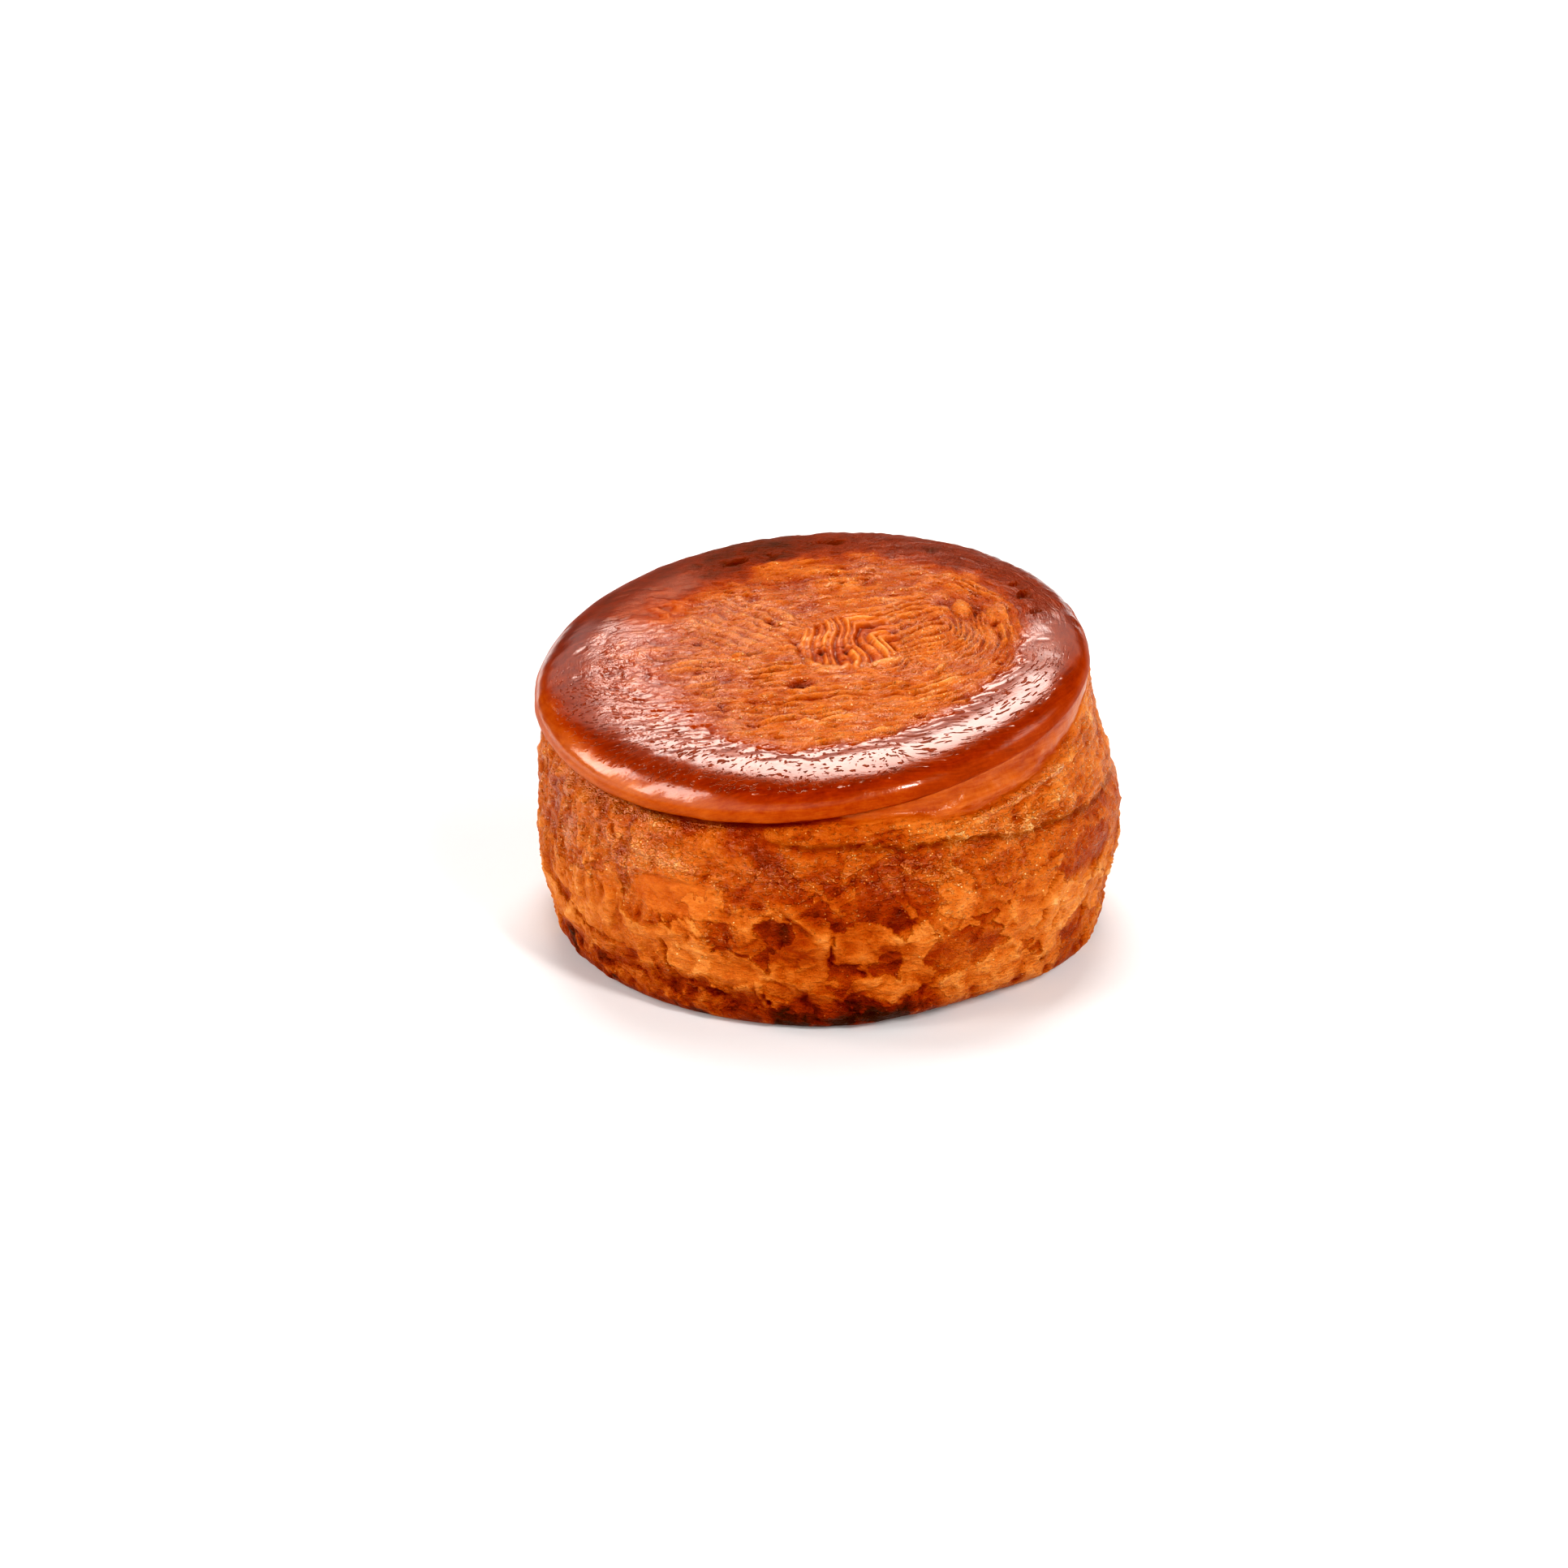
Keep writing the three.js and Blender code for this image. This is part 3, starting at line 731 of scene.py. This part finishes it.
    # The looks that the material turns into fine crinkles, beads of caramel with painted glints, and
    # streaks.
    crinkle = 0.55 + 0.20 * low - 0.4 * caramel + 0.3 * browned - 0.15 * plate
    bead_and_glint_level = 0.10 + 0.30 * middle + 0.5 * ridged + 0.15 * banded
    clustered = bell(closest(angle, z, BEAD_AND_GLINT_PLACES), 0.9)
    bead_and_glint_level += 0.7 * clustered
    relief += clustered * 0.28 * noise(warped, [1.5, 1.5, 1.1], 95)
    gloss = lerp(gloss, 0.8, 0.4 * clustered * (1 - plate))
    bead_and_glint_level += 0.35 * noise(p, 3, 93) - 1.2 * np.maximum(plate, caramel) - 0.5 * on_sheet * low
    relief *= lerp(1, 0.6, within(angle, 340, 380, 20) * ease(14, 20, z))
    streak_radius = lerp(STREAK_RADIUS, LONG_STREAK_RADIUS, np.maximum(banded, caramel))
    flow = np.roll(on_ring(angle, streak_radius, z), 1, -1)
    tone = np.minimum(tone, 0.62 + 0.72 * (tone - 0.62))
    return relief, dict(tone=tone, gloss=gloss, flow=flow, crinkle=crinkle, bead_and_glint_level=bead_and_glint_level,
                        pitted=np.zeros_like(z), sheet=sheet)


def under_rim(angle):
    """The rim's lower edge in each of the ring's directions, and the direction seen from the axis."""
    rim = rim_place(angle, np.ones_like(angle))
    return rim, np.degrees(np.arctan2(rim[..., 1], rim[..., 0])) % 360


def foot_size(direction):
    """How far the rounded bottom edge reaches inwards and upwards."""
    lifted = near(direction, FOOT_LIFT_ANGLE, FOOT_LIFT_SPREAD)
    return FOOT_ROUND + FOOT_UNDERCUT * lifted, FOOT_ROUND + FOOT_LIFT * lifted


def wall_point(angle, share):
    """The wall from under the rim, at share 0, to the top of the rounded foot, at share 1."""
    rim, direction = under_rim(angle)
    lip = near(direction, LIP_ANGLE, LIP_SPREAD)
    z = lerp(rim[..., 2] - lerp(RIM_GAP, LIP_GAP, lip), foot_size(direction)[1], share)
    relief, looks = wall_surface(direction, z, rim[..., 2])
    free = wall_radius(direction, z) + relief
    tucked = np.hypot(rim[..., 0], rim[..., 1]) - lerp(RIM_TUCK, LIP_TUCK, lip)
    swell = ease(0, TUCK_HEIGHT, rim[..., 2] - z)
    wet = within(direction, *WET_UNDER_LIP) * (1 - swell)
    radius = lerp(tucked + (0.3 + 0.5 * wet) * relief, free, swell)
    # Painted shade: darker under the lip, where the wall is tucked in.
    looks["tone"] -= 0.10 * (1 - swell) * lip
    looks["gloss"] = lerp(looks["gloss"], 0.85, wet)
    return on_ring(direction, radius, z), looks


def foot_point(angle, bend):
    """The rounded bottom edge, from the wall at bend 0 to the table at bend 90."""
    rim, direction = under_rim(angle)
    width, height = foot_size(direction)
    bend = np.radians(bend)
    z = height * (1 - np.sin(bend))
    relief, looks = wall_surface(direction, z, rim[..., 2])
    radius = wall_radius(direction, height) - width * (1 - np.cos(bend)) + relief * np.cos(bend)
    return on_ring(direction, radius, z), looks


# --- Rings and meshes ---

class Rings:
    """A closed surface as rings of points from one pole to the other."""

    def __init__(self):
        self.points = []
        self.looks = {key: [] for key in ("tone", "gloss", "pitted", "crinkle", "bead_and_glint_level", "sheet", "flow")}
        self.counts = []

    def add(self, counts, params, surface):
        """Rings with a count and one parameter each, on surface(angle, parameter)."""
        angle = np.concatenate([np.arange(n) * 360 / n for n in counts])
        param = np.concatenate([np.full(n, v) for n, v in zip(counts, params)])
        point, looks = surface(angle, param)
        self.points.append(point)
        for name, values in self.looks.items():
            values.append(looks[name])
        self.counts += list(counts)

    def faces(self):
        firsts = np.cumsum([0] + self.counts)
        pairs = zip(firsts, self.counts, firsts[1:], self.counts[1:])
        return np.concatenate([band_faces(*pair) for pair in pairs])


def band_faces(first_a, a, first_b, b):
    """Triangles that face outwards between two rings."""
    if a == b:
        i = np.arange(a)
        j = (i + 1) % a
        first = np.stack([first_a + i, first_b + i, first_b + j], 1)
        return np.concatenate([first, np.stack([first_a + i, first_b + j, first_a + j], 1)])
    steps_a = (np.arange(1, a + 1) if a > 1 else np.array([])) / max(a, 1)
    steps_b = (np.arange(1, b + 1) if b > 1 else np.array([])) / max(b, 1)
    which = np.concatenate([np.zeros(len(steps_a), int), np.ones(len(steps_b), int)])
    order = np.lexsort((which, np.concatenate([steps_a, steps_b])))
    on_b = which[order]
    j = np.cumsum(on_b)
    i = np.cumsum(1 - on_b)
    here_a = (i - (1 - on_b)) % a
    here_b = (j - on_b) % b
    third = np.where(on_b == 1, first_b + j % b, first_a + i % a)
    return np.stack([first_a + here_a, first_b + here_b, third], 1)


def ring_counts(radii, step, most):
    """How many points go round rings of these radii, about a step apart."""
    return [int(np.clip(round(2 * np.pi * r / step), 6, most)) for r in radii]


def add_object(name, data):
    made = bpy.data.objects.new(name, data)
    bpy.context.scene.collection.objects.link(made)
    return made


def make_piece(name, rings, material):
    points = (np.concatenate(rings.points) + ROW_SHIFT) * MM
    faces = rings.faces()
    mesh = bpy.data.meshes.new(name)
    mesh.vertices.add(len(points))
    mesh.vertices.foreach_set("co", points.ravel())
    mesh.loops.add(faces.size)
    mesh.loops.foreach_set("vertex_index", faces.ravel())
    mesh.polygons.add(len(faces))
    mesh.polygons.foreach_set("loop_start", np.arange(0, faces.size, 3))
    mesh.update(calc_edges=True)
    mesh.polygons.foreach_set("use_smooth", np.ones(len(faces), bool))
    for key, values in rings.looks.items():
        values = np.concatenate(values)
        kind = "FLOAT_VECTOR" if values.ndim > 1 else "FLOAT"
        layer = mesh.attributes.new(key, kind, "POINT")
        layer.data.foreach_set("vector" if values.ndim > 1 else "value", values.ravel())
    mesh.validate()
    mesh.materials.append(material)
    return add_object(name, mesh)


def cap_rings():
    rings = Rings()
    around = 2 * int(np.pi * CAP_RADIUS / CAP_STEP)
    radii = np.arange(CAP_STEP, TOP_RADIUS - CAP_STEP / 2, CAP_STEP)
    rings.add([1], [0], cap_top)
    rings.add(ring_counts(radii, CAP_STEP, around), radii, cap_top)
    rings.add([around] * RIM_ROWS, np.linspace(0, 1, RIM_ROWS), cap_rim)

    def underside(angle, inset):
        point, looks = cap_rim(angle, np.ones_like(angle))
        centre = np.array([CAP_X, 0, 0])
        scaled = centre + (point - centre) * (1 - inset[..., None] / CAP_RADIUS)
        scaled[..., 2] = cap_plane(scaled[..., 0], scaled[..., 1]) - UNDERSIDE_DROP
        return scaled, looks
    counts = ring_counts(CAP_RADIUS - UNDERSIDE_INSETS, HIDDEN_STEP, around)
    rings.add(counts, UNDERSIDE_INSETS, underside)
    rings.add([1], [CAP_RADIUS], underside)
    return rings


def crust_rings():
    rings = Rings()
    around = 2 * int(np.pi * WALL_MEAN_RADIUS / WALL_STEP)

    def hidden_top(angle, inset):
        point, looks = wall_point(angle, np.zeros_like(angle))
        point *= 1 - inset[..., None] / HIDDEN_RADIUS
        # It rises into the cap, so that no gap shows between the two pieces.
        drop = RIM_DROP * lerp(1, 0.6, ease(0, 3, inset))
        point[..., 2] = cap_plane(point[..., 0], point[..., 1]) - drop
        return point, looks
    rings.add([1], [HIDDEN_RADIUS], hidden_top)
    counts = ring_counts(HIDDEN_RADIUS - HIDDEN_TOP_INSETS, HIDDEN_STEP, around)
    rings.add(counts, HIDDEN_TOP_INSETS, hidden_top)
    rows = int((CAP_HEIGHT - RIM_DROP - FOOT_ROUND) / WALL_STEP)
    rings.add([around] * rows, np.linspace(0, 1, rows), wall_point)
    bends = np.linspace(90 / FOOT_ROWS, 90, FOOT_ROWS)
    rings.add([around] * FOOT_ROWS, bends, foot_point)

    def base(angle, share):
        point, looks = foot_point(angle, np.full_like(angle, 90))
        return point * share[..., None], looks
    counts = ring_counts(HIDDEN_RADIUS * BASE_SHARES, HIDDEN_STEP / 2, around)
    rings.add(counts, BASE_SHARES, base)
    rings.add([1], [0], base)
    return rings


# --- Materials ---

def srgb(r, g, b):
    """Linear colour for an sRGB one in 0 to 255."""
    c = np.array([r, g, b]) / 255
    return tuple(np.where(c < 0.04045, c / 12.92, ((c + 0.055) / 1.055) ** 2.4)) + (1.0,)


def set_sockets(node, values):
    for name, value in values.items():
        node.inputs[name].default_value = value


class Nodes:
    """Adds and links the nodes of a material or a world."""

    def __init__(self, name=None, tree=None):
        if tree is None:
            self.material = bpy.data.materials.new(name)
            self.material.use_nodes = True
            tree = self.material.node_tree
            self.shader = tree.nodes["Principled BSDF"]
        self.tree = tree

    def link(self, source, target):
        if isinstance(source, (int, float)):
            target.default_value = source
        else:
            self.tree.links.new(source, target)

    def node(self, kind, **settings):
        made = self.tree.nodes.new(kind)
        for key, value in settings.items():
            setattr(made, key, value)
        return made

    def attribute(self, name, output="Fac"):
        return self.node("ShaderNodeAttribute", attribute_name=name).outputs[output]

    def math(self, operation, a, b=0.0, c=0.0):
        made = self.node("ShaderNodeMath", operation=operation)
        for value, socket in zip((a, b, c), made.inputs):
            self.link(value, socket)
        return made.outputs[0]

    def add(self, part, weight, base):
        """part * weight + base"""
        return self.math("MULTIPLY_ADD", part, weight, base)

    def scale(self, vector, x, y, z):
        made = self.node("ShaderNodeVectorMath", operation="MULTIPLY")
        self.link(vector, made.inputs[0])
        made.inputs[1].default_value = (x, y, z)
        return made.outputs[0]

    def noise(self, vector, scale, detail, roughness):
        made = self.node("ShaderNodeTexNoise")
        self.link(vector, made.inputs["Vector"])
        set_sockets(made, {"Scale": scale, "Detail": detail, "Roughness": roughness})
        return made.outputs[0]

    def spread(self, value, low, high, to_low=0.0, to_high=1.0):
        """From to_low, below low, smoothly to to_high, above high."""
        made = self.node("ShaderNodeMapRange", interpolation_type="SMOOTHSTEP")
        self.link(value, made.inputs[0])
        for socket, number in zip(made.inputs[1:5], (low, high, to_low, to_high)):
            self.link(number, socket)
        return made.outputs[0]

    def ramp(self, value, stops):
        made = self.node("ShaderNodeValToRGB")
        elements = made.color_ramp.elements
        while len(elements) < len(stops):
            elements.new(0.5)
        for element, (position, colour) in zip(elements, stops):
            element.position = position
            element.color = colour
        self.link(value, made.inputs[0])
        return made.outputs[0]

    def bump(self, height, distance, strength):
        made = self.node("ShaderNodeBump")
        set_sockets(made, {"Distance": distance, "Strength": strength})
        self.link(height, made.inputs["Height"])
        return made.outputs[0]


# The crust's colours, from nearly burnt caramel to pale dough.
TONES = [
    (0.00, srgb(50, 20, 9)),
    (0.18, srgb(112, 34, 6)),
    (0.34, srgb(146, 55, 11)),
    (0.50, srgb(171, 84, 25)),
    (0.66, srgb(194, 110, 45)),
    (0.82, srgb(215, 140, 74)),
    (1.00, srgb(236, 192, 136)),
]


# What is the same all over the crust.
CRUST_SOCKETS = {
    "Coat Roughness": 0.14,
    "Coat IOR": 1.55,
    "IOR": 1.45,
    "Specular Tint": (1.0, 0.62, 0.34, 1),
    "Subsurface Weight": 0.12,
    "Subsurface Radius": (1.0, 0.36, 0.10),
    "Subsurface Scale": 0.6 * MM,
}
BUMP_DEPTH = 0.6 * MM


def crust_material():
    n = Nodes("baked_crust")
    place = n.scale(n.node("ShaderNodeTexCoord").outputs["Object"], 1 / MM, 1 / MM, 1 / MM)
    gloss = n.attribute("gloss")
    crinkle = n.attribute("crinkle")
    flow = n.attribute("flow", "Vector")

    coarse = n.noise(place, 0.5, 4, 0.6)
    fine = n.noise(place, 1.9, 3, 0.65)
    finest = n.noise(place, 4.5, 2, 0.6)
    streak = n.noise(n.scale(flow, 1.9, 0.4, 0.4), 1, 3, 0.6)
    thread = n.noise(n.scale(flow, 3.2, 0.55, 0.55), 1, 1, 0.5)

    # The torn edge of the sheets, with a painted highlight just inside it and a painted shadow just
    # outside.
    ragged = n.add(n.math("SUBTRACT", fine, 0.5), 0.30, n.attribute("sheet"))
    on_sheet = n.spread(ragged, -0.02, 0.02)
    painted_edge_highlight = n.math("SUBTRACT", on_sheet, n.spread(ragged, 0.02, 0.12))
    painted_edge_shadow = n.math("SUBTRACT", n.spread(ragged, -0.09, -0.01), on_sheet)

    # Dash-shaped pits in the caramel rim, along the way that the layers run. They are painted a little
    # darker, a painted shade.
    dash = n.noise(n.scale(flow, 2.5, 1.15, 1.15), 1, 1, 0.5)
    dash = n.add(n.math("SUBTRACT", coarse, 0.5), 0.30, dash)
    pits = n.math("MULTIPLY", n.spread(dash, 0.585, 0.665), n.spread(n.attribute("pitted"), 0.3, 0.9))

    # Beads of caramel, which glint under the coat; they are also painted paler, a painted glint.
    beads_with_painted_glint = n.noise(n.scale(place, 1.6, 1.6, 2.6), 1, 1, 0.5)
    beads_with_painted_glint = n.spread(n.add(n.attribute("bead_and_glint_level"), 0.16, beads_with_painted_glint), 0.63, 0.80)

    # Painted glints: small pale specks painted into the colour, which also get the coat and a little bump.
    spots = n.node("ShaderNodeTexVoronoi")
    n.link(place, spots.inputs["Vector"])
    spots.inputs["Scale"].default_value = 1.3
    chosen = n.add(n.attribute("bead_and_glint_level"), 0.30, spots.outputs["Color"])
    painted_glint_specks = n.math("MULTIPLY", n.spread(spots.outputs["Distance"], 0.08, 0.24, 1.0, 0.0),
                    n.spread(chosen, 0.72, 0.80))

    # What each of these adds to the tone, for how far it is over its own middle.
    tone = n.attribute("tone")
    weights = [(coarse, 0.5, 0.20), (fine, 0.5, 0.14), (streak, 0.5, 0.18), (thread, 0.5, 0.12),
               # a painted highlight and a painted shadow at the sheets' edges
               (on_sheet, 0.5, 0.06), (painted_edge_highlight, 0.0, 0.05), (painted_edge_shadow, 0.0, -0.02),
               # painted shade in the pits, and painted glints on the beads and pale specks
               (pits, 0.0, -0.05), (beads_with_painted_glint, 0.0, 0.12), (painted_glint_specks, 0.0, 0.45)]
    for part, middle, weight in weights:
        tone = n.add(n.math("SUBTRACT", part, middle), weight, tone)
    n.link(n.ramp(tone, TONES), n.shader.inputs["Base Color"])

    # A film of caramel in streaks, and all over the rim.
    film = n.math("MULTIPLY", n.math("SUBTRACT", streak, 0.5), n.spread(crinkle, 0.0, 0.5, 0.0, 0.9))
    shine = n.math("ADD", film, gloss)
    rough = n.spread(gloss, 0.0, 1.0, 0.58, 0.30)
    n.link(n.add(pits, 0.25, rough), n.shader.inputs["Roughness"])
    glaze = n.math("MAXIMUM", n.spread(shine, 0.60, 0.82), n.math("MAXIMUM", beads_with_painted_glint, painted_glint_specks))
    glaze = n.math("MULTIPLY", glaze, n.math("SUBTRACT", 1.0, pits))
    n.link(glaze, n.shader.inputs["Coat Weight"])
    set_sockets(n.shader, CRUST_SOCKETS)

    # Fine relief, which the crinkle attribute makes stronger or weaker, and what stands out of it.
    height = coarse
    for part, weight in ((fine, 0.45), (streak, 0.6), (finest, 0.22), (thread, 0.35)):
        height = n.add(part, weight, height)
    height = n.math("MULTIPLY", height, n.spread(crinkle, 0.0, 1.0, 0.05, 1.5))
    for part, weight in ((beads_with_painted_glint, 0.6), (painted_glint_specks, 0.2), (pits, -0.3), (on_sheet, 0.30)):
        height = n.add(part, weight, height)
    normal = n.bump(height, BUMP_DEPTH, 0.9)
    n.link(normal, n.shader.inputs["Normal"])
    n.link(normal, n.shader.inputs["Coat Normal"])
    return n.material


# --- Pieces ---

crust_look = crust_material()
cap = make_piece("caramel_cap", cap_rings(), crust_look)
crust = make_piece("flaky_crust", crust_rings(), crust_look)
for piece in (cap, crust):
    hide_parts("pastry")
    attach(piece, "root")

# --- Floor, light and camera ---

FLOOR_SIZE = 12.0
FLOOR_SOCKETS = {
    "Base Color": (0.62, 0.605, 0.60, 1),
    "Emission Color": (1.0, 0.96, 0.95, 1),
    "Emission Strength": 0.10,
    "Roughness": 0.9,
    "Specular IOR Level": 0.1,
}


def floor():
    mesh = bpy.data.meshes.new("floor")
    half = FLOOR_SIZE / 2
    corners = [(-half, -half, 0), (half, -half, 0), (half, half, 0), (-half, half, 0)]
    mesh.from_pydata(corners, [], [(0, 1, 2, 3)])
    n = Nodes("studio_floor")
    set_sockets(n.shader, FLOOR_SOCKETS)
    mesh.materials.append(n.material)
    add_object("floor", mesh)


# Soft boxes of the studio, in degrees: from and to, clockwise from the back, from and to above the
# horizon, and the width of the soft edge. Then how bright.
SOFT_BOXES = [
    (-37, 36, 16, 80, 7, 0.5),
    (-28, 29, 42, 80, 9, 5.7),
    (-89, -72, 12, 46, 4, 5.6),
    (-122, -104, 8, 48, 4, 5.6),
    (72, 100, 22, 46, 12, 2.0),
    (78, 140, -20, 34, 30, 0.8),
    (135, 270, -20, 38, 30, 0.85),
]
AMBIENT = 0.03


def studio():
    """A world that is dark but for soft boxes and a white wall behind the object."""
    world = bpy.data.worlds.new("studio")
    bpy.context.scene.world = world
    world.use_nodes = True
    n = Nodes(tree=world.node_tree)
    direction = n.node("ShaderNodeTexCoord").outputs["Generated"]
    split = n.node("ShaderNodeSeparateXYZ")
    n.link(direction, split.inputs[0])
    round_by = n.math("DEGREES", n.math("ARCTAN2", split.outputs["X"], split.outputs["Y"]))
    height = n.math("DEGREES", n.math("ARCSINE", split.outputs["Z"]))

    def window(value, low, high, edge):
        away = n.math("ABSOLUTE", n.math("SUBTRACT", value, (low + high) / 2))
        half = (high - low) / 2
        return n.spread(away, half - edge / 2, half + edge / 2, 1.0, 0.0)

    light = AMBIENT
    for left, right, low, high, edge, power in SOFT_BOXES:
        # Each is measured from its own middle, so that one may lie across the front.
        middle = (left + right) / 2
        away = n.math("WRAP", n.math("SUBTRACT", round_by, middle), 180.0, -180.0)
        across = window(away, left - middle, right - middle, edge)
        shape = n.math("MULTIPLY", across, window(height, low, high, edge))
        light = n.add(shape, power, light)
    # Where the camera looks past the floor's edge it sees a white wall.
    seen = n.node("ShaderNodeLightPath").outputs["Is Camera Ray"]
    background = world.node_tree.nodes["Background"]
    n.link(n.math("MAXIMUM", light, seen), background.inputs["Strength"])
    set_sockets(background, {"Color": (1, 1, 1, 1)})


# Lamps: name, direction from the object, side in metres, power, and whether reflections show it.
LAMPS = [
    ("key_lamp", (0.507, -0.604, 0.616), 0.20, 4.8, False),
    ("glint_lamp", (0.384, -0.549, 0.743), 0.12, 2.4, True),
]
LAMP_DISTANCE = 1.2


def lamp(name, toward, size, power, glints):
    """A square lamp in one direction from the object, which may be left out of reflections."""
    data = bpy.data.lights.new(name, "AREA")
    data.size = size
    data.energy = power
    made = add_object(name, data)
    toward = Vector(toward)
    made.location = toward * LAMP_DISTANCE
    made.rotation_euler = toward.to_track_quat("Z", "Y").to_euler()
    made.visible_glossy = glints


CAMERA_LENS = 100
CAMERA_TILT = np.radians(24.0)
# At this distance the object is as wide in the frame as it is in the photograph.
CAMERA_DISTANCE = 0.640
CAMERA_AIM = Vector((-0.00646 + ROW_SHIFT[0] * MM, ROW_SHIFT[1] * MM, 0.022))
# This puts the object as high in the frame as it is there.
CAMERA_RAISE = -0.00149


def camera():
    data = bpy.data.cameras.new("camera")
    data.lens = CAMERA_LENS
    made = add_object("camera", data)
    back = Vector((0, -np.cos(CAMERA_TILT), np.sin(CAMERA_TILT)))
    up = Vector((0, np.sin(CAMERA_TILT), np.cos(CAMERA_TILT)))
    made.location = CAMERA_AIM + back * CAMERA_DISTANCE + up * CAMERA_RAISE
    made.rotation_euler = (np.pi / 2 - CAMERA_TILT, 0, 0)
    bpy.context.scene.camera = made


GRADE_BLACK = (0, 0.012, 0.014)


def grade():
    """The photograph's strong contrast, with hardly any blue left in the caramel's darks."""
    view = bpy.context.scene.view_settings
    view.view_transform = "Standard"
    view.look = "High Contrast"
    view.use_curve_mapping = True
    view.curve_mapping.black_level = GRADE_BLACK
    view.curve_mapping.update()


floor()
studio()
for values in LAMPS:
    lamp(*values)
camera()
grade()
